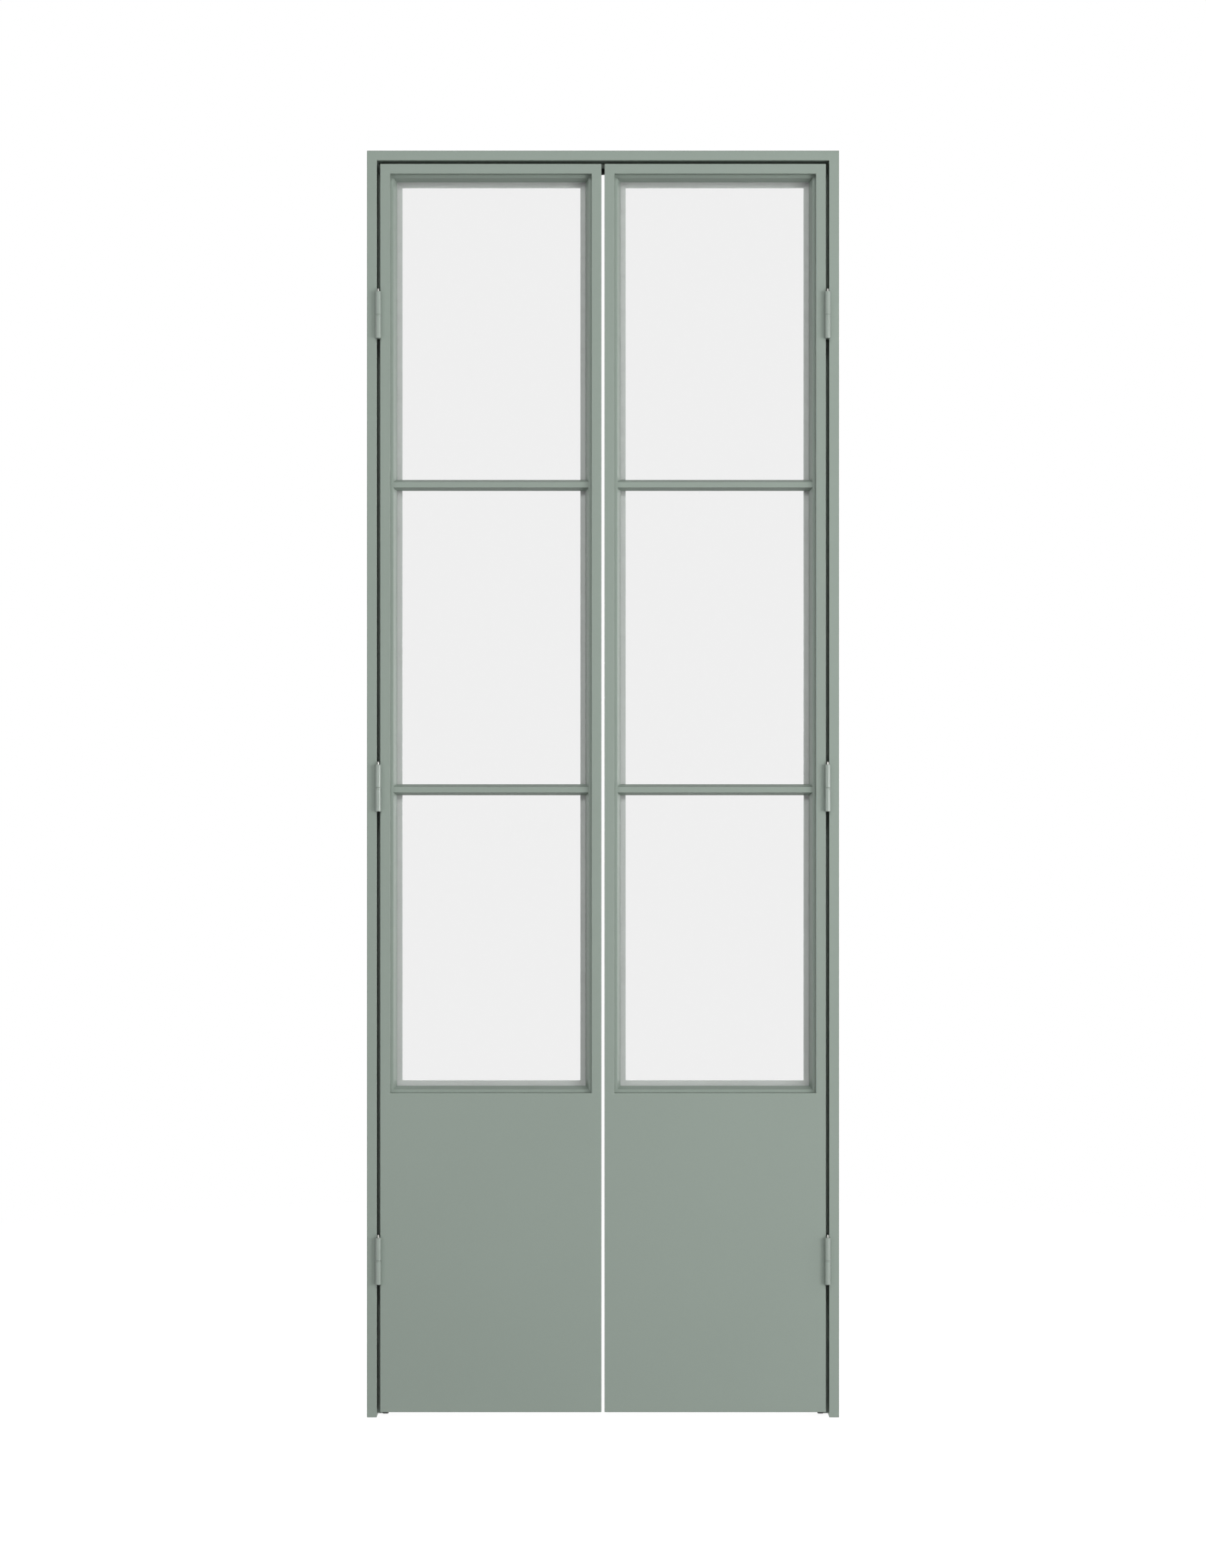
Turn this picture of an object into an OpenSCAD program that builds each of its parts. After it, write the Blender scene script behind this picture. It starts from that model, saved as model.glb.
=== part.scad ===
// Double pantry door: two glazed steel leaves hung on knuckle hinges in a slim steel frame.
// Sizes are millimetres. +Z is up, the front faces -Y, and the origin is at the bottom centre
// of the whole part. Depths are measured back from the front face of the frame and the leaves.
// Pieces that come in pairs are drawn on the left and mirrored to the right.

/* [Frame] */
// Overall width of the frame
frame_w = 908; // [780:1:1300]
// Overall height of the frame
frame_h = 2436; // [1950:1:2700]
// Face width of the jambs and the head
frame_face = 19; // [17:0.5:40]
// Wall thickness of the frame tubes
frame_wall = 1.5; // [1:0.1:2.5]
// Depth of the frame tubes behind the stop bars
frame_back = 6; // [0:0.5:30]

/* [Stop and seal] */
// How far the stop bars stand in from the jambs and the head
stop_proj = 20; // [15:0.5:26]
// Thickness of the stop bars
stop_t = 3; // [2:0.5:5]
// Width of the rubber seal along the inner edge of the stop
seal_w = 12; // [8:0.5:14]
// Thickness of the rubber seal
seal_t = 3.7; // [2:0.1:5]
// Width of the slope along both edges of the seal
seal_slope = 2; // [0.5:0.1:3]
// Clearance between the seal and a closed leaf
seal_clear = 0.3; // [0.2:0.1:1]

/* [Leaves] */
// Thickness of the leaves
leaf_d = 38; // [35:0.5:45]
// Gap between the head and the leaves
head_gap = 6.5; // [3:0.1:10]
// Gap between the two leaves
centre_gap = 6; // [5:0.1:10]
// Clearance under the leaves
floor_gap = 10; // [3:0.5:20]
// Face width of the stiles, the top rail and the bottom rail
stile_face = 19; // [16:0.5:40]
// Face height of the middle rail under the glass
middle_rail_face = 19; // [16:0.5:40]
// Wall thickness of the leaf tubes
leaf_wall = 1.5; // [1:0.1:2.5]
// Height from the foot of a leaf to the glazed opening
panel_h = 613.5; // [300:0.5:800]
// Thickness of the panel sheets
sheet_t = 1.5; // [0.8:0.1:3]
// Flange width of the stiffeners between the panel sheets
stiffener_w = 20; // [10:1:40]
// Sheet thickness of the stiffeners
stiffener_t = 1.2; // [0.8:0.1:2]

/* [Glazing] */
// Depth of the flat front of the beads behind the face of the leaf
bead_depth = 14; // [8:0.5:20]
// Width of the flat front of the beads
bead_flat = 5.7; // [4:0.1:10]
// Width of the bevel of the beads
bead_bevel = 6; // [3:0.1:10]
// Sheet thickness of the beads and the glazing bars
bead_sheet = 1.2; // [0.8:0.1:1.5]
// Depth of the front of the glass behind the face of the leaf
glass_depth = 28; // [24:0.5:29]
// Thickness of the glass
glass_t = 6; // [4:0.5:7]
// Clearance around the edge of the glass
glass_clear = 3; // [2:0.5:5]
// Thickness of the glazing tape behind the glass
tape_t = 1.5; // [0.5:0.1:2]
// How far the rear flange shows beyond the beads
flange_show = 10; // [4:0.5:20]
// Height from the foot of the opening to the middle of the lower glazing bar
lower_lite = 583.4; // [300:0.1:620]
// Distance between the middles of the two glazing bars
bar_pitch = 587.8; // [300:0.1:620]
// Width of the flat front of the glazing bars
bar_flat = 10.3; // [6:0.1:20]
// Width of each bevel of the glazing bars
bar_bevel = 5.6; // [3:0.1:10]
// Width of the flat bars behind the glass
rear_bar_w = 18; // [10:0.5:20]
// Length of the setting blocks under the glass
block_l = 60; // [30:1:100]

/* [Hinges] */
// Distance from the ends of a leaf to the middle of its outer hinges
hinge_inset = 291.5; // [150:0.5:400]
// Thickness of the hinge plates
plate_t = 2.8; // [2.5:0.1:4]
// Clearance between the two plates of a closed hinge
plate_gap = 0.9; // [0.5:0.1:2]
// Width of the hinge plates, measured into the door
plate_w = 30; // [26:0.5:34]
// Distance from the face of the leaf back to the edge of the plates
plate_relief = 0.8; // [0.6:0.1:2]
// Diameter of the knuckles
barrel_d = 12; // [9:0.1:14]
// Width of the chamfer at the ends of the knuckles
barrel_chamfer = 0.5; // [0.2:0.1:1]
// Length of each knuckle
knuckle_l = 44; // [38:0.5:60]
// Thickness of the washer between the knuckles
washer_t = 1.9; // [1:0.1:4]
// How far the washer stands out beyond the knuckles
washer_lip = 0.3; // [0:0.05:0.5]
// Diameter of the hinge pin
pin_d = 6; // [5:0.1:7]
// Radial clearance around the pin in the lower knuckle, which holds it
pin_seat = 0.02; // [0.01:0.01:0.05]
// Radial clearance around the pin in the upper knuckle, which turns on it
pin_clear = 0.06; // [0.02:0.01:0.1]
// Clearance between the washer and the upper knuckle
lift_clear = 0.1; // [0.05:0.05:0.5]
// Diameter of the tip of the pin above the hinge
tip_d = 3.6; // [2:0.1:5]
// Height of the tip of the pin above the hinge
tip_h = 6; // [4:0.5:10]
// Shank diameter of the hinge screws
screw_d = 5; // [4:0.1:6]
// Head diameter of the hinge screws
screw_head_d = 9; // [8:0.1:10]
// Length of the hinge screws
screw_l = 10; // [8:0.5:14]
// Width across the corners of the socket in the screw heads
socket_d = 3.4; // [2.5:0.1:3.8]
// Depth of the socket in the screw heads
socket_h = 2; // [1:0.1:3]
// Height between neighbouring hinge screws
screw_pitch = 30; // [20:0.5:34]
// Distance from the edge of the plate to the middle screw
screw_edge = 11; // [8:0.5:12]
// How much further in the other two screws sit
screw_stagger = 8; // [4:0.5:10]
// Clearance around the hinge screws
screw_clear = 0.1; // [0.05:0.05:0.3]

/* [Wall anchors] */
// Diameter of the anchor holes in the outer wall of the jambs
anchor_d = 7; // [5:0.1:10]
// Diameter of the access holes in the inner wall of the jambs
access_d = 13; // [11:0.1:16]
// Depth of the anchor holes behind the front of the frame
anchor_depth = 24; // [14:0.5:30]
// Distance from the ends of the jambs to the first anchor hole
anchor_inset = 150; // [80:1:200]
// Height between the two anchor holes of a pair
anchor_pitch = 600; // [400:1:640]

/* [Hidden] */
$fn = 48;
SIDES = ["left", "right"];
HINGES = ["bottom", "middle", "top"];

paint = [0.57, 0.62, 0.58];
bright_steel = [0.80, 0.78, 0.72];
rubber = [0.05, 0.05, 0.05];
tape_grey = [0.66, 0.68, 0.67];
clear_glass = [0.85, 0.90, 0.88, 0.35];

// How far cuts run past the faces that they open
overrun = 1;

// Depths
rebate = leaf_d + seal_clear + seal_t;
frame_d = rebate + stop_t + frame_back;
front_reach = barrel_d + washer_lip;
front_y = (front_reach - frame_d) / 2;
tape_depth = glass_depth + glass_t;
flange_depth = tape_depth + tape_t;

// Outlines in the front view, as [left, bottom, right, top]
side_gap = 2 * plate_t + plate_gap;
jamb_x = frame_face - frame_w / 2;
leaf_top = frame_h - frame_face - head_gap;
frame_box = [-frame_w / 2, 0, frame_w / 2, frame_h];
leaf_box = [jamb_x + side_gap, floor_gap, -centre_gap / 2, leaf_top];
open_box = [leaf_box[0] + stile_face, floor_gap + panel_h, leaf_box[2] - stile_face, leaf_top - stile_face];
panel_box = [open_box[0], floor_gap + stile_face, open_box[2], open_box[1] - middle_rail_face];
glass_box = grown(open_box, -glass_clear);

// Glazing
bead_w = bead_flat + bead_bevel;
flange_w = bead_w + flange_show;
lower_bar_z = open_box[1] + lower_lite;
upper_bar_z = lower_bar_z + bar_pitch;

// Hinges
axis_x = jamb_x + side_gap / 2;
axis_y = front_y - barrel_d / 2;
hinge_l = 2 * knuckle_l + washer_t + lift_clear;
hinge_z = [floor_gap + hinge_inset, (floor_gap + leaf_top) / 2, leaf_top - hinge_inset];
head_h = (screw_head_d - screw_d) / 2;

// Wall anchors
anchor_z = [
    anchor_inset,
    anchor_inset + anchor_pitch,
    frame_h - anchor_inset - anchor_pitch,
    frame_h - anchor_inset
];

// A box outline moved outwards on every edge
function grown(box, by) = [box[0] - by, box[1] - by, box[2] + by, box[3] + by];

// One strip of a mitred border inside a box; run lengthens it at both mitres
function strip(box, edge, inset, width, run = 0) =
    let (b = grown(box, -inset), c = grown(b, -width))
    edge == "left" ? [[b[0], b[1] - run], [c[0], c[1] - run], [c[0], c[3] + run], [b[0], b[3] + run]]
    : edge == "right" ? [[b[2], b[1] - run], [c[2], c[1] - run], [c[2], c[3] + run], [b[2], b[3] + run]]
    : edge == "bottom" ? [[b[0] - run, b[1]], [c[0] - run, c[1]], [c[2] + run, c[1]], [b[2] + run, b[1]]]
    : [[b[0] - run, b[3]], [c[0] - run, c[3]], [c[2] + run, c[3]], [b[2] + run, b[3]]];

// The upright strip of the frame's border: square at the floor and mitred at the head
function jamb_strip(inset, width, run = 0) =
    let (s = strip(frame_box, "left", inset, width, run))
    [[s[0][0], -run], [s[1][0], -run], s[2], s[3]];

// The closed section of a bent sheet, from its outer corners and its inner ones
function bent(outer, inner) = concat(outer, [for (i = [len(inner) - 1:-1:0]) inner[i]]);

// Sections as [distance in from the opening's edge, depth]; the sheet is thicker along the slope
function sloped_sheet(run) = bead_sheet * norm([run, glass_depth - bead_depth]) / (glass_depth - bead_depth);
function slope_at(run) = run * bead_sheet / (glass_depth - bead_depth);

bead_section = bent(
    [[0, glass_depth], [0, bead_depth], [bead_flat, bead_depth], [bead_w, glass_depth]],
    [
        [bead_sheet, glass_depth],
        [bead_sheet, bead_depth + bead_sheet],
        [bead_flat + slope_at(bead_bevel) - sloped_sheet(bead_bevel), bead_depth + bead_sheet],
        [bead_w - sloped_sheet(bead_bevel), glass_depth]
    ]
);

// Section of a glazing bar as [height above its middle, depth]
bar_half = bar_flat / 2 + bar_bevel;
bar_inner = bar_half - sloped_sheet(bar_bevel);
bar_inner_flat = bar_flat / 2 + slope_at(bar_bevel) - sloped_sheet(bar_bevel);
bar_section = bent(
    [[-bar_half, glass_depth], [-bar_flat / 2, bead_depth], [bar_flat / 2, bead_depth], [bar_half, glass_depth]],
    [
        [-bar_inner, glass_depth],
        [-bar_inner_flat, bead_depth + bead_sheet],
        [bar_inner_flat, bead_depth + bead_sheet],
        [bar_inner, glass_depth]
    ]
);

// Section of the seal as [distance in from the frame's edge, depth]
seal_inset = frame_face + stop_proj - seal_w;
seal_section = [
    [seal_inset, rebate],
    [seal_inset + seal_slope, rebate - seal_t],
    [seal_inset + seal_w - seal_slope, rebate - seal_t],
    [seal_inset + seal_w, rebate]
];

// Puts a left-hand piece on either side of the door
module on_side(side) {
    if (side == "right") mirror([1, 0, 0]) children();
    else children();
}

// A flat shape of the front view, from one depth to another
module front_prism(depth0, depth1) {
    translate([0, front_y + depth1, 0]) rotate([90, 0, 0]) linear_extrude(depth1 - depth0) children();
}

// A section drawn in plan, run from one height to another
module upright(z0, z1) {
    translate([0, 0, z0]) linear_extrude(z1 - z0) children();
}

// A section drawn as (y, z), run from one x to another
module crosswise(x0, x1) {
    translate([x0, 0, 0]) rotate([90, 0, 90]) linear_extrude(x1 - x0) children();
}

module box_outline(box) {
    translate([box[0], box[1]]) square([box[2] - box[0], box[3] - box[1]]);
}

// A hollow tube whose ends are mitred inside the leaf's outline
module leaf_tube(edge) {
    difference() {
        front_prism(0, leaf_d) polygon(strip(leaf_box, edge, 0, stile_face));
        front_prism(leaf_wall, leaf_d - leaf_wall)
            polygon(strip(leaf_box, edge, leaf_wall, stile_face - 2 * leaf_wall, overrun));
    }
}

// Places a piece at each screw of the hinge at height z
module at_screws(z) {
    for (i = [-1:1])
        translate([0, front_y + plate_relief + screw_edge + abs(i) * screw_stagger, z + i * screw_pitch])
            children();
}

// Screws of a jamb plate point outwards and those of a leaf plate inwards
module at_jamb_screws(z) {
    at_screws(z) translate([jamb_x + plate_t, 0, 0]) rotate([0, -90, 0]) children();
}

module at_leaf_screws(z) {
    at_screws(z) translate([leaf_box[0] - plate_t, 0, 0]) rotate([0, 90, 0]) children();
}

// The outline of a countersunk screw along +Z with the top of its head at the origin
module screw_blank(extra = 0) {
    cylinder(d1 = screw_head_d + 2 * extra, d2 = screw_d + 2 * extra, h = head_h);
    translate([0, 0, head_h]) cylinder(d = screw_d + 2 * extra, h = screw_l - head_h);
}

// A screw with a six-sided socket in its head
module screw() {
    difference() {
        screw_blank();
        translate([0, 0, -overrun]) cylinder(d = socket_d, h = overrun + socket_h, $fn = 6);
    }
}

// The hole for a screw, open past the face of the plate
module screw_hole() {
    screw_blank(screw_clear);
    translate([0, 0, -overrun]) cylinder(d = screw_head_d + 2 * screw_clear, h = overrun);
}

// A knuckle with chamfered ends
module knuckle() {
    cylinder(d1 = barrel_d - 2 * barrel_chamfer, d2 = barrel_d, h = barrel_chamfer);
    translate([0, 0, barrel_chamfer]) cylinder(d = barrel_d, h = knuckle_l - 2 * barrel_chamfer);
    translate([0, 0, knuckle_l - barrel_chamfer])
        cylinder(d1 = barrel_d, d2 = barrel_d - 2 * barrel_chamfer, h = barrel_chamfer);
}

// A hinge plate that starts at x and reaches out to its knuckle over the height from knuckle_z up
module hinge_plate(x, z, knuckle_z, clearance) {
    difference() {
        union() {
            translate([x, front_y + plate_relief, z - hinge_l / 2]) cube([plate_t, plate_w, hinge_l]);
            translate([x, axis_y, knuckle_z + barrel_chamfer])
                cube([plate_t, front_y + plate_relief + plate_w - axis_y, knuckle_l - 2 * barrel_chamfer]);
            translate([axis_x, axis_y, knuckle_z]) knuckle();
        }
        translate([axis_x, axis_y, knuckle_z - overrun])
            cylinder(d = pin_d + 2 * clearance, h = knuckle_l + 2 * overrun);
    }
}

// Frame

module jamb(side) {
    color(paint) on_side(side) difference() {
        front_prism(0, frame_d) polygon(jamb_strip(0, frame_face));
        front_prism(frame_wall, frame_d - frame_wall)
            polygon(jamb_strip(frame_wall, frame_face - 2 * frame_wall, overrun));
        for (z = hinge_z) at_jamb_screws(z) screw_hole();
        for (z = anchor_z) translate([0, front_y + anchor_depth, z]) rotate([0, 90, 0]) {
            translate([0, 0, frame_box[0] - overrun]) cylinder(d = anchor_d, h = frame_face);
            translate([0, 0, jamb_x - 2 * frame_wall]) cylinder(d = access_d, h = 2 * frame_wall + overrun);
        }
    }
}

module head() {
    color(paint) difference() {
        front_prism(0, frame_d) polygon(strip(frame_box, "top", 0, frame_face));
        front_prism(frame_wall, frame_d - frame_wall)
            polygon(strip(frame_box, "top", frame_wall, frame_face - 2 * frame_wall, overrun));
    }
}

module stop(side) {
    color(paint) on_side(side)
        front_prism(rebate, rebate + stop_t) polygon(jamb_strip(frame_face, stop_proj));
}

module head_stop() {
    color(paint) front_prism(rebate, rebate + stop_t) polygon(strip(frame_box, "top", frame_face, stop_proj));
}

module stop_seal() {
    color(rubber) {
        for (side = SIDES) on_side(side) intersection() {
            translate([frame_box[0], front_y, 0]) upright(0, frame_h) polygon(seal_section);
            front_prism(rebate - seal_t, rebate) polygon(jamb_strip(seal_inset, seal_w));
        }
        intersection() {
            translate([0, front_y, frame_h]) crosswise(frame_box[0], frame_box[2])
                polygon([for (p = seal_section) [p[1], -p[0]]]);
            front_prism(rebate - seal_t, rebate) polygon(strip(frame_box, "top", seal_inset, seal_w));
        }
    }
}

// Hinges: the lower knuckle and the pin stay with the frame, the upper knuckle turns with the leaf

module frame_hinge(side, z) {
    color(paint) on_side(side) difference() {
        hinge_plate(jamb_x, z, z - hinge_l / 2, pin_seat);
        at_jamb_screws(z) screw_hole();
    }
}

module leaf_hinge(side, z) {
    color(paint) on_side(side) difference() {
        hinge_plate(leaf_box[0] - plate_t, z, z + hinge_l / 2 - knuckle_l, pin_clear);
        at_leaf_screws(z) screw_hole();
    }
}

module hinge_pins() {
    color(bright_steel) for (side = SIDES, z = hinge_z) on_side(side)
        translate([axis_x, axis_y, z - hinge_l / 2]) {
            cylinder(d = pin_d, h = hinge_l);
            translate([0, 0, hinge_l]) cylinder(d = tip_d, h = tip_h - tip_d / 2);
            translate([0, 0, hinge_l + tip_h - tip_d / 2]) sphere(d = tip_d);
        }
}

module hinge_washers() {
    color(paint) for (side = SIDES, z = hinge_z) on_side(side)
        translate([axis_x, axis_y, z - hinge_l / 2 + knuckle_l]) difference() {
            cylinder(d = barrel_d + 2 * washer_lip, h = washer_t);
            translate([0, 0, -overrun]) cylinder(d = pin_d + 2 * pin_clear, h = washer_t + 2 * overrun);
        }
}

module frame_hinge_screws() {
    color(paint) for (side = SIDES, z = hinge_z) on_side(side) at_jamb_screws(z) screw();
}

module leaf_hinge_screws(side) {
    color(paint) on_side(side) for (z = hinge_z) at_leaf_screws(z) screw();
}

// Leaves

module hinge_stile(side) {
    color(paint) on_side(side) difference() {
        leaf_tube("left");
        for (z = hinge_z) at_leaf_screws(z) screw_hole();
    }
}

module meeting_stile(side) {
    color(paint) on_side(side) leaf_tube("right");
}

module top_rail(side) {
    color(paint) on_side(side) leaf_tube("top");
}

module bottom_rail(side) {
    color(paint) on_side(side) leaf_tube("bottom");
}

module middle_rail(side) {
    color(paint) on_side(side) difference() {
        front_prism(0, leaf_d) box_outline([open_box[0], panel_box[3], open_box[2], open_box[1]]);
        front_prism(leaf_wall, leaf_d - leaf_wall) box_outline([
            open_box[0] - overrun, panel_box[3] + leaf_wall, open_box[2] + overrun, open_box[1] - leaf_wall
        ]);
    }
}

module front_panel(side) {
    color(paint) on_side(side) front_prism(0, sheet_t) box_outline(panel_box);
}

module back_panel(side) {
    color(paint) on_side(side) front_prism(leaf_d - sheet_t, leaf_d) box_outline(panel_box);
}

// Two channels that stand between the panel sheets, a third of the panel apart
module panel_stiffeners(side) {
    hollow_d = leaf_d - 2 * sheet_t;
    color(paint) on_side(side) for (third = [1, 2])
        translate([panel_box[0] + third * (panel_box[2] - panel_box[0]) / 3, front_y + sheet_t, 0])
            upright(panel_box[1], panel_box[3]) difference() {
                square([stiffener_w, hollow_d]);
                translate([stiffener_t, stiffener_t]) square([stiffener_w, hollow_d - 2 * stiffener_t]);
            }
}

// Glazing

module glass(side) {
    color(clear_glass) on_side(side) front_prism(glass_depth, tape_depth) box_outline(glass_box);
}

module setting_blocks(side) {
    color(rubber) on_side(side) for (quarter = [1, 3]) {
        middle = open_box[0] + quarter * (open_box[2] - open_box[0]) / 4;
        front_prism(glass_depth, tape_depth)
            box_outline([middle - block_l / 2, open_box[1], middle + block_l / 2, glass_box[1]]);
    }
}

// The three clear windows between the rear flange and the rear bars
module rear_windows() {
    window = grown(open_box, -flange_w);
    half = rear_bar_w / 2;
    box_outline([window[0], window[1], window[2], lower_bar_z - half]);
    box_outline([window[0], lower_bar_z + half, window[2], upper_bar_z - half]);
    box_outline([window[0], upper_bar_z + half, window[2], window[3]]);
}

module glazing_tape(side) {
    color(tape_grey) on_side(side) front_prism(tape_depth, flange_depth) difference() {
        box_outline(glass_box);
        rear_windows();
    }
}

// One plate behind the glass: its border is the flange that the glass beds on, and its two
// crossbars lie behind the glazing bars
module rear_glazing_grid(side) {
    color(paint) on_side(side) front_prism(flange_depth, leaf_d) difference() {
        box_outline(open_box);
        rear_windows();
    }
}

// A bead along one edge of the opening: its section run along the edge and cut to the mitres
module bead(side, edge) {
    inwards = edge == "left" || edge == "bottom" ? 1 : -1;
    color(paint) on_side(side) intersection() {
        front_prism(bead_depth, glass_depth) polygon(strip(open_box, edge, 0, bead_w));
        if (edge == "left" || edge == "right")
            translate([edge == "left" ? open_box[0] : open_box[2], front_y, 0])
                upright(open_box[1], open_box[3])
                    polygon([for (p = bead_section) [inwards * p[0], p[1]]]);
        else
            translate([0, front_y, edge == "bottom" ? open_box[1] : open_box[3]])
                crosswise(open_box[0], open_box[2])
                    polygon([for (p = bead_section) [p[1], inwards * p[0]]]);
    }
}

// A glazing bar across the front of the glass, its ends cut to the bevels of the side beads
module glazing_bar(side, z) {
    color(paint) on_side(side) intersection() {
        translate([0, front_y, z]) crosswise(open_box[0], open_box[2])
            polygon([for (p = bar_section) [p[1], p[0]]]);
        upright(z - bar_half, z + bar_half) polygon([
            [open_box[0] + bead_flat, front_y + bead_depth],
            [open_box[2] - bead_flat, front_y + bead_depth],
            [open_box[2] - bead_w, front_y + glass_depth],
            [open_box[0] + bead_w, front_y + glass_depth]
        ]);
    }
}

head();
head_stop();
stop_seal();
hinge_pins();
hinge_washers();
frame_hinge_screws();
for (side = SIDES) {
    jamb(side);
    stop(side);
    for (i = [0:2]) {
        frame_hinge(side, hinge_z[i]);
        leaf_hinge(side, hinge_z[i]);
    }
    leaf_hinge_screws(side);
    hinge_stile(side);
    meeting_stile(side);
    top_rail(side);
    middle_rail(side);
    bottom_rail(side);
    front_panel(side);
    back_panel(side);
    panel_stiffeners(side);
    glass(side);
    setting_blocks(side);
    glazing_tape(side);
    rear_glazing_grid(side);
    bead(side, "top");
    bead(side, "bottom");
    bead(side, "left");
    bead(side, "right");
    glazing_bar(side, upper_bar_z);
    glazing_bar(side, lower_bar_z);
}
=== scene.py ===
import math

import bmesh
import bpy
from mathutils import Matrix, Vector


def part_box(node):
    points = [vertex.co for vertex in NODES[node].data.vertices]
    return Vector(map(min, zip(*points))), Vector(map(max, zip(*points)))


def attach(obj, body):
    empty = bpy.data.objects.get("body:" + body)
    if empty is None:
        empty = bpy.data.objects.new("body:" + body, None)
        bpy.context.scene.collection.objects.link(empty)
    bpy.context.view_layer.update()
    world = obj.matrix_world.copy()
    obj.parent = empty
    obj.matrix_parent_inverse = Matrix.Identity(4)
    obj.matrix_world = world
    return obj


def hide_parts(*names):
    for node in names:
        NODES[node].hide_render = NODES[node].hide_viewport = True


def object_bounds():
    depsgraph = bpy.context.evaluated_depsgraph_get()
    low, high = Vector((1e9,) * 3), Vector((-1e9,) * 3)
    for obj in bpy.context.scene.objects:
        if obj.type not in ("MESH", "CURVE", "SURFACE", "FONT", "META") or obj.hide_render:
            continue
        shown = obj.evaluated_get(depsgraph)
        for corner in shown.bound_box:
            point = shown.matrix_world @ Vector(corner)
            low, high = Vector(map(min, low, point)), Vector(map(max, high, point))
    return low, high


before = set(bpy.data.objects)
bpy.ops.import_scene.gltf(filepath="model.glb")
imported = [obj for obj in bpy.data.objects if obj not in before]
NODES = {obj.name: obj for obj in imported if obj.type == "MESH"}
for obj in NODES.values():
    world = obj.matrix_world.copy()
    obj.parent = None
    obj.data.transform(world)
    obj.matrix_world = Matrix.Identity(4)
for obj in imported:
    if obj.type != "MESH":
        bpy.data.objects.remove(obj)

MM = 0.001
SIDES = ("left", "right")
LEVELS = ("bottom", "middle", "top")
CAD_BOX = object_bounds()

# Sizes of the softened edges, in metres
TUBE_ROUND = 0.9 * MM
BEAD_ROUND = 0.35 * MM
PLATE_ROUND = 0.2 * MM
SCREW_ROUND = 0.15 * MM
RUBBER_ROUND = 0.4 * MM

# An edge is sharp where its faces turn by more than the first angle, and flat where they turn
# by less than the second
SHARP_ANGLE = math.radians(32)
FLAT_ANGLE = math.radians(0.3)

# Tolerances: points this close are joined, a face this close to a plane lies in it, and
# a normal with at least this cosine stands square to it
WELD_REACH = 0.002 * MM
JOIN_REACH = 0.005 * MM
PLANE_REACH = 0.01 * MM
SQUARE_COSINE = 0.999

# The weighted normals follow the large flats and not the narrow rounds
FLATS_FIRST = 100

# Sockets of the Mix node where it mixes colours
MIX_SHARE, MIX_FIRST, MIX_SECOND = 0, 6, 7
MIX_RESULT = 2


# Camera: level, square to the door, in line with its middle
# Metres to the face of the leaves, the height that the picture takes in there, and the sensor in mm
VIEW_DISTANCE = 6.1
VIEW_HEIGHT = 3.0147
SENSOR = 36.0
face_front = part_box("left_front_panel")[0].y
mid_height = CAD_BOX[1].z / 2
camera_data = bpy.data.cameras.new("camera")
camera = bpy.data.objects.new("camera", camera_data)
bpy.context.scene.collection.objects.link(camera)
camera.location = (0, face_front - VIEW_DISTANCE, mid_height)
camera.rotation_euler = (math.pi / 2, 0, 0)
camera_data.sensor_width = SENSOR
camera_data.lens = SENSOR * VIEW_DISTANCE / VIEW_HEIGHT
bpy.context.scene.camera = camera


# Nodes of the materials
def new_material(name):
    """A new material, its node tree and the Principled shader in it."""
    material = bpy.data.materials.new(name)
    material.use_nodes = True
    tree = material.node_tree
    shader = next(n for n in tree.nodes if n.type == "BSDF_PRINCIPLED")
    return material, tree, shader


def show(tree, shader):
    """Makes a shader the one that the material shows."""
    out = next(n for n in tree.nodes if n.type == "OUTPUT_MATERIAL")
    tree.links.new(shader.outputs[0], out.inputs["Surface"])


def node(tree, kind, settings=None, **inputs):
    """A new node with its settings and its input values, or links for sockets."""
    made = tree.nodes.new(kind)
    for key, value in (settings or {}).items():
        setattr(made, key, value)
    for key, value in inputs.items():
        socket = made.inputs[key.replace("_", " ")]
        if isinstance(value, bpy.types.NodeSocket):
            tree.links.new(value, socket)
        else:
            socket.default_value = value
    return made


def position(tree):
    """Places on the object, in metres."""
    return node(tree, "ShaderNodeTexCoord").outputs["Object"]


def noise(tree, scale, detail=2.0, rough=0.5, vector=None):
    """Soft noise, with so many cells to the metre or to a unit of the given vector."""
    made = node(tree, "ShaderNodeTexNoise", Scale=scale, Detail=detail, Roughness=rough)
    tree.links.new(vector or position(tree), made.inputs["Vector"])
    return made.outputs["Fac"]


def remap(tree, value, low=0.0, high=1.0, start=0.3, end=0.7):
    """Stretches values from start to end over low to high."""
    return node(
        tree, "ShaderNodeMapRange", Value=value, From_Min=start, From_Max=end, To_Min=low, To_Max=high
    ).outputs["Result"]


def larger(tree, first, second):
    """The larger of two values."""
    made = node(tree, "ShaderNodeMath", {"operation": "MAXIMUM"})
    tree.links.new(first, made.inputs[0])
    tree.links.new(second, made.inputs[1])
    return made.outputs[0]


def blend_colours(tree, share, first, second):
    """A colour between two, by a share that varies over the surface."""
    made = node(tree, "ShaderNodeMix", {"data_type": "RGBA"})
    tree.links.new(share, made.inputs[MIX_SHARE])
    made.inputs[MIX_FIRST].default_value = (*first, 1)
    made.inputs[MIX_SECOND].default_value = (*second, 1)
    return made.outputs[MIX_RESULT]


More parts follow.
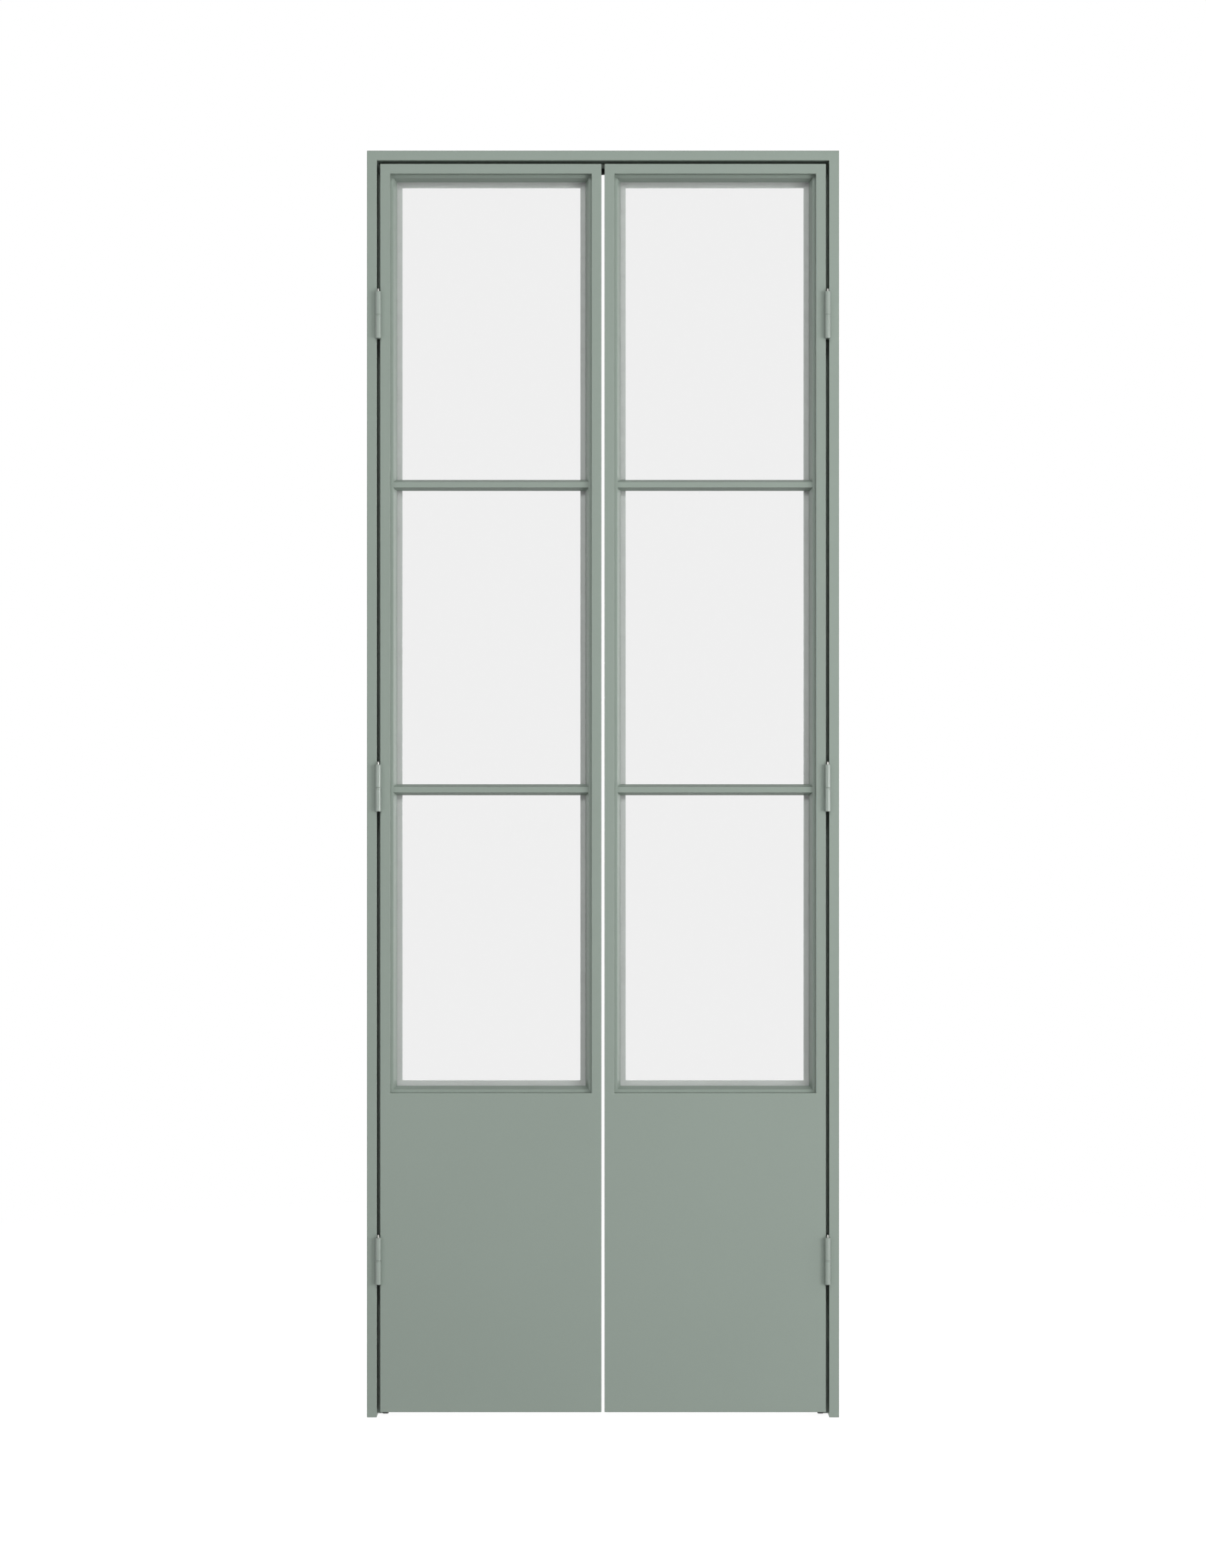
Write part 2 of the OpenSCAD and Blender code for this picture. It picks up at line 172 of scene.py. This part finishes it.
def multiply_colours(tree, first, second):
    """The product of two colours that vary over the surface."""
    made = node(tree, "ShaderNodeMix", {"data_type": "RGBA", "blend_type": "MULTIPLY"})
    made.inputs[MIX_SHARE].default_value = 1.0
    tree.links.new(first, made.inputs[MIX_FIRST])
    tree.links.new(second, made.inputs[MIX_SECOND])
    return made.outputs[MIX_RESULT]


def bump(tree, height, strength, distance):
    """Fine relief from a height that varies over the surface."""
    made = node(tree, "ShaderNodeBump", Height=height, Strength=strength, Distance=distance)
    return made.outputs["Normal"]


def blend_shaders(tree, share, first, second):
    """A shader between two, by a share."""
    made = node(tree, "ShaderNodeMixShader")
    tree.links.new(share, made.inputs[0])
    tree.links.new(first.outputs[0], made.inputs[1])
    tree.links.new(second.outputs[0], made.inputs[2])
    return made


def dress(tree, shader, colour, roughness, normal):
    """Links the patterns of a surface to its shader."""
    for name, value in (("Base Color", colour), ("Roughness", roughness), ("Normal", normal)):
        tree.links.new(value, shader.inputs[name])


def grey(level):
    return (level, level, level)


def scaled(colour, factor):
    return tuple(c * factor for c in colour)


# Materials
def powder_coat(name, smoothest, roughest, gloss):
    """Sage grey-green powder coat: fine orange peel, a faint fleck and a slow drift in tone."""
    material, tree, shader = new_material(name)
    sage = (0.268, 0.318, 0.280)
    drift = remap(tree, noise(tree, scale=2.4))
    tone = blend_colours(tree, drift, scaled(sage, 0.985), scaled(sage, 1.015))
    fleck = remap(tree, noise(tree, scale=1900.0, detail=1.0), start=0.35, end=0.65)
    shade = blend_colours(tree, fleck, grey(0.97), grey(1.03))
    sheen = remap(tree, noise(tree, scale=420.0), smoothest, roughest)
    peel = noise(tree, scale=620.0, detail=1.5, rough=0.45)
    relief = bump(tree, peel, strength=0.10, distance=0.4 * MM)
    dress(tree, shader, multiply_colours(tree, tone, shade), sheen, relief)
    shader.inputs["Specular IOR Level"].default_value = gloss
    return material


def clear_glass():
    """Clear float glass, a little grey, that lets the lamps through to what lies behind it."""
    material, tree, shader = new_material("clear_glass")
    shader.inputs["Base Color"].default_value = (*grey(0.86), 1)
    shader.inputs["Roughness"].default_value = 0.0
    shader.inputs["IOR"].default_value = 1.5
    shader.inputs["Transmission Weight"].default_value = 1.0
    path = node(tree, "ShaderNodeLightPath")
    passing = larger(tree, path.outputs["Is Shadow Ray"], path.outputs["Is Diffuse Ray"])
    open_way = node(tree, "ShaderNodeBsdfTransparent", Color=(*grey(0.94), 1))
    show(tree, blend_shaders(tree, passing, shader, open_way))
    return material


def grey_tape():
    """Pale grey closed-cell glazing tape."""
    material, tree, shader = new_material("grey_tape")
    cells = noise(tree, scale=1500.0)
    tone = blend_colours(tree, remap(tree, cells), (0.565, 0.60, 0.575), (0.60, 0.64, 0.61))
    relief = bump(tree, cells, strength=0.12, distance=0.2 * MM)
    dress(tree, shader, tone, remap(tree, cells, low=0.62, high=0.78), relief)
    return material


def black_rubber():
    """Matt black rubber of the seal and the setting blocks."""
    material, tree, shader = new_material("black_rubber")
    grain = noise(tree, scale=900.0, detail=3.0)
    tone = blend_colours(tree, remap(tree, grain), grey(0.010), grey(0.018))
    relief = bump(tree, grain, strength=0.2, distance=0.3 * MM)
    dress(tree, shader, tone, remap(tree, grain, low=0.58, high=0.72), relief)
    shader.inputs["Specular IOR Level"].default_value = 0.35
    return material


def bright_steel():
    """Turned steel of the hinge pins, with fine lathe marks."""
    material, tree, shader = new_material("bright_steel")
    stretched = node(tree, "ShaderNodeMapping", Vector=position(tree), Scale=(300, 300, 6000))
    marks = noise(tree, scale=1.0, rough=0.6, vector=stretched.outputs[0])
    tone = blend_colours(tree, remap(tree, marks), (0.36, 0.36, 0.34), (0.46, 0.46, 0.44))
    relief = bump(tree, marks, strength=0.08, distance=0.1 * MM)
    dress(tree, shader, tone, remap(tree, marks, low=0.30, high=0.42), relief)
    shader.inputs["Metallic"].default_value = 1.0
    return material


PAINT = powder_coat("powder_coat", smoothest=0.39, roughest=0.47, gloss=0.5)
HINGE_PAINT = powder_coat("hinge_powder_coat", smoothest=0.27, roughest=0.35, gloss=0.85)
GLASS = clear_glass()
TAPE = grey_tape()
RUBBER = black_rubber()
STEEL = bright_steel()


# Pieces
def paint_over(piece, material):
    piece.data.materials.clear()
    piece.data.materials.append(material)


def soften(piece, width, segments=3, weld=False, marked_only=False):
    """Rounds the sharp edges a little, or only the marked ones, with even shading on the flats."""
    if weld:
        joined = piece.modifiers.new("weld", "WELD")
        joined.merge_threshold = WELD_REACH
        flats = piece.modifiers.new("flats", "DECIMATE")
        flats.decimate_type = "DISSOLVE"
        flats.angle_limit = FLAT_ANGLE
    rounding = piece.modifiers.new("round", "BEVEL")
    rounding.width = width
    rounding.segments = segments
    rounding.limit_method = "WEIGHT" if marked_only else "ANGLE"
    rounding.angle_limit = SHARP_ANGLE
    rounding.use_clamp_overlap = False
    even = piece.modifiers.new("even", "WEIGHTED_NORMAL")
    even.keep_sharp = marked_only
    even.weight = FLATS_FIRST


def new_piece(name, shape, material, body, stands_for):
    """A piece of the scene that rides on a body and stands for CAD nodes."""
    mesh = bpy.data.meshes.new(name)
    shape.to_mesh(mesh)
    shape.free()
    mesh.shade_smooth()
    piece = bpy.data.objects.new(name, mesh)
    bpy.context.scene.collection.objects.link(piece)
    mesh.materials.append(material)
    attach(piece, body)
    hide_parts(*stands_for)
    return piece


def mark_outer_edges(shape, corners):
    """Marks the edges to round: those between outer faces, in the planes through the given corners.
    The other sharp edges, such as the rims of the holes, stay sharp."""
    def outer(face):
        return any(
            abs(face.normal[axis]) > SQUARE_COSINE
            and min(abs(face.verts[0].co[axis] - corner[axis]) for corner in corners) < PLANE_REACH
            for axis in range(3)
        )

    marks = shape.edges.layers.float.new("bevel_weight_edge")
    for edge in shape.edges:
        if edge.calc_face_angle(0) > SHARP_ANGLE:
            rounded = all(outer(face) for face in edge.link_faces)
            edge[marks] = 1.0 if rounded else 0.0
            edge.smooth = rounded


def welded_frame():
    """Jambs and head as one welded frame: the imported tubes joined, the faces inside the mitres gone."""
    parts = ("left_jamb", "head", "right_jamb")
    shape = bmesh.new()
    for name in parts:
        shape.from_mesh(NODES[name].data)
    bmesh.ops.remove_doubles(shape, verts=shape.verts, dist=JOIN_REACH)
    shape.normal_update()
    diagonal = math.sqrt(0.5)
    tolerance = 0.01
    head_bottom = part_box("head")[0].z
    mitres = [
        face for face in shape.faces
        if abs(abs(face.normal.x) - diagonal) < tolerance
        and abs(abs(face.normal.z) - diagonal) < tolerance
        and min(vert.co.z for vert in face.verts) > head_bottom - MM
    ]
    bmesh.ops.delete(shape, geom=mitres, context="FACES")
    bmesh.ops.dissolve_limit(shape, angle_limit=FLAT_ANGLE, verts=shape.verts, edges=shape.edges)
    mark_outer_edges(shape, [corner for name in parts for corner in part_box(name)])
    return new_piece("welded_frame", shape, PAINT, "frame", parts)


def welded_leaf(side):
    """One leaf's tubes and panel sheets as one ground-flush welded frame with its window."""
    parts = [
        f"{side}_{part}" for part in (
            "hinge_stile", "meeting_stile", "top_rail", "middle_rail", "bottom_rail",
            "front_panel", "back_panel",
        )
    ]
    low = Vector(map(min, *(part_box(part)[0] for part in parts)))
    high = Vector(map(max, *(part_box(part)[1] for part in parts)))
    left_stile, right_stile = sorted(
        (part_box(f"{side}_hinge_stile"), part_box(f"{side}_meeting_stile")), key=lambda box: box[0].x
    )
    window_low = Vector((left_stile[1].x, 0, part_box(f"{side}_middle_rail")[1].z))
    window_high = Vector((right_stile[0].x, 0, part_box(f"{side}_top_rail")[0].z))
    shape = bmesh.new()
    rings = []
    for y in (low.y, high.y):
        for a, b in ((low, high), (window_low, window_high)):
            corners = ((a.x, a.z), (b.x, a.z), (b.x, b.z), (a.x, b.z))
            rings.append([shape.verts.new((x, y, z)) for x, z in corners])
    front, front_window, back, back_window = rings
    for i in range(4):
        j = (i + 1) % 4
        shape.faces.new((front[i], front[j], front_window[j], front_window[i]))
        shape.faces.new((back[j], back[i], back_window[i], back_window[j]))
        shape.faces.new((front[j], front[i], back[i], back[j]))
        shape.faces.new((front_window[i], front_window[j], back_window[j], back_window[i]))
    bmesh.ops.recalc_face_normals(shape, faces=shape.faces)
    return new_piece(
        f"{side}_welded_leaf", shape, PAINT, f"{side}_leaf", parts
    )


soften(welded_frame(), TUBE_ROUND, marked_only=True)
for side in SIDES:
    soften(welded_leaf(side), TUBE_ROUND)

painted_strips = ["left_stop", "right_stop", "head_stop"]
for side in SIDES:
    painted_strips += [
        f"{side}_{part}" for part in (
            "rear_glazing_grid", "top_bead", "bottom_bead", "hinge_side_bead", "meeting_side_bead",
            "upper_glazing_bar", "lower_glazing_bar", "panel_stiffeners",
        )
    ]
for name in painted_strips:
    paint_over(NODES[name], PAINT)
    soften(NODES[name], BEAD_ROUND, weld=True)

for side in SIDES:
    for level in LEVELS:
        for part in ("frame_hinge", "leaf_hinge"):
            name = f"{side}_{level}_{part}"
            paint_over(NODES[name], HINGE_PAINT)
            soften(NODES[name], PLATE_ROUND, segments=2, weld=True)
for name in (
    "hinge_washers", "frame_hinge_screws", "left_leaf_hinge_screws", "right_leaf_hinge_screws",
):
    paint_over(NODES[name], HINGE_PAINT)
    soften(NODES[name], SCREW_ROUND, segments=2, weld=True)
paint_over(NODES["hinge_pins"], STEEL)

for name in ("stop_seal", "left_setting_blocks", "right_setting_blocks"):
    paint_over(NODES[name], RUBBER)
    soften(NODES[name], RUBBER_ROUND, weld=True)
for side in SIDES:
    paint_over(NODES[f"{side}_glass"], GLASS)
    paint_over(NODES[f"{side}_glazing_tape"], TAPE)


# Floor: pale, white to the eye but still taking the shadow of the door
FLOOR_HALF = 7.0
FLOOR_DROP = 0.2 * MM
FLOOR_GREY = 0.46
SHADOW_GREY = 0.22
NEAR_GLOW = 0.93
SHADOW_REACH = 1.0
WHITE_FROM = 3.2


def white_rays(tree):
    """1 for rays that show the background to the camera, directly, mirrored or through glass."""
    path = node(tree, "ShaderNodeLightPath")
    total = path.outputs["Is Camera Ray"]
    for name in ("Is Glossy Ray", "Is Transmission Ray"):
        total = larger(tree, total, path.outputs[name])
    return total


def pale_floor():
    """Lit as pale grey, seen as white: with the shadow near the door, and plain white further off."""
    material, tree, shader = new_material("pale_floor")
    shader.inputs["Base Color"].default_value = (*grey(FLOOR_GREY), 1)
    shader.inputs["Roughness"].default_value = 1.0
    shader.inputs["Specular IOR Level"].default_value = 0.0
    shadow = node(tree, "ShaderNodeBsdfDiffuse", Color=(*grey(SHADOW_GREY), 1))
    glow = node(tree, "ShaderNodeEmission", Color=(1, 1, 1, 1), Strength=NEAR_GLOW)
    near = node(tree, "ShaderNodeAddShader")
    tree.links.new(shadow.outputs[0], near.inputs[0])
    tree.links.new(glow.outputs[0], near.inputs[1])
    far = node(tree, "ShaderNodeEmission", Color=(1, 1, 1, 1), Strength=1.0)
    away = node(tree, "ShaderNodeVectorMath", {"operation": "LENGTH"})
    tree.links.new(position(tree), away.inputs[0])
    fading = remap(tree, away.outputs["Value"], start=SHADOW_REACH, end=WHITE_FROM)
    seen = blend_shaders(tree, fading, near, far)
    show(tree, blend_shaders(tree, white_rays(tree), shader, seen))
    return material


floor_mesh = bpy.data.meshes.new("floor")
floor_mesh.from_pydata(
    [
        (-FLOOR_HALF, -FLOOR_HALF, 0), (FLOOR_HALF, -FLOOR_HALF, 0),
        (FLOOR_HALF, FLOOR_HALF, 0), (-FLOOR_HALF, FLOOR_HALF, 0),
    ],
    [], [(0, 1, 2, 3)],
)
floor_mesh.materials.append(pale_floor())
floor = bpy.data.objects.new("floor", floor_mesh)
bpy.context.scene.collection.objects.link(floor)
floor.location.z = -FLOOR_DROP


# Room: white to the eye, but dim as a light
AMBIENT = 0.01
world = bpy.data.worlds.new("room")
bpy.context.scene.world = world
world.use_nodes = True
background = next(n for n in world.node_tree.nodes if n.type == "BACKGROUND")
background.inputs["Color"].default_value = (1, 1, 1, 1)
room_level = remap(
    world.node_tree, white_rays(world.node_tree), low=AMBIENT, high=1.0, start=0.0, end=1.0
)
world.node_tree.links.new(room_level, background.inputs["Strength"])


# Light: soft boxes around the door, brighter on the right
# Name, turn to the right of straight ahead and rise in degrees, distance, width and height in
# metres, watts
LAMPS = (
    ("right_box", 44, 1, 5.6, 2.6, 2.4, 152),
    ("right_side_box", 72, 1, 5.6, 0.8, 2.4, 30),
    ("left_box", -41, 1, 5.6, 1.8, 2.4, 37),
    ("front_box", 0, 0, 6.8, 0.8, 2.0, 17),
    ("high_box", 0, 37, 10.0, 5.0, 2.5, 455),
    ("right_rear_box", 125, 3, 5.5, 2.0, 2.6, 115),
    ("left_rear_box", -125, 3, 5.5, 2.0, 2.6, 54),
    ("rear_box", 180, 2, 7.0, 3.2, 1.2, 150),
)
# The panes mirror the white room but not the lamps
panes = bpy.data.collections.new("panes")
for side in SIDES:
    panes.objects.link(NODES[f"{side}_glass"])
for entry in panes.collection_objects:
    entry.light_linking.link_state = "EXCLUDE"

aim = Vector((0, face_front, mid_height))
for name, turn, rise, distance, width, height, watts in LAMPS:
    lamp_data = bpy.data.lights.new(name, "AREA")
    lamp_data.shape = "RECTANGLE"
    lamp_data.size = width
    lamp_data.size_y = height
    lamp_data.energy = watts
    lamp = bpy.data.objects.new(name, lamp_data)
    bpy.context.scene.collection.objects.link(lamp)
    across, up = math.radians(turn), math.radians(rise)
    away = Vector(
        (math.sin(across) * math.cos(up), -math.cos(across) * math.cos(up), math.sin(up))
    )
    lamp.location = aim + away * distance
    lamp.rotation_euler = away.to_track_quat("Z", "Y").to_euler()
    lamp.visible_camera = False
    lamp.visible_transmission = False
    # The lamps straight ahead give no glare
    lamp.visible_glossy = turn != 0
    lamp.light_linking.receiver_collection = panes

bpy.context.scene.view_settings.view_transform = "Standard"
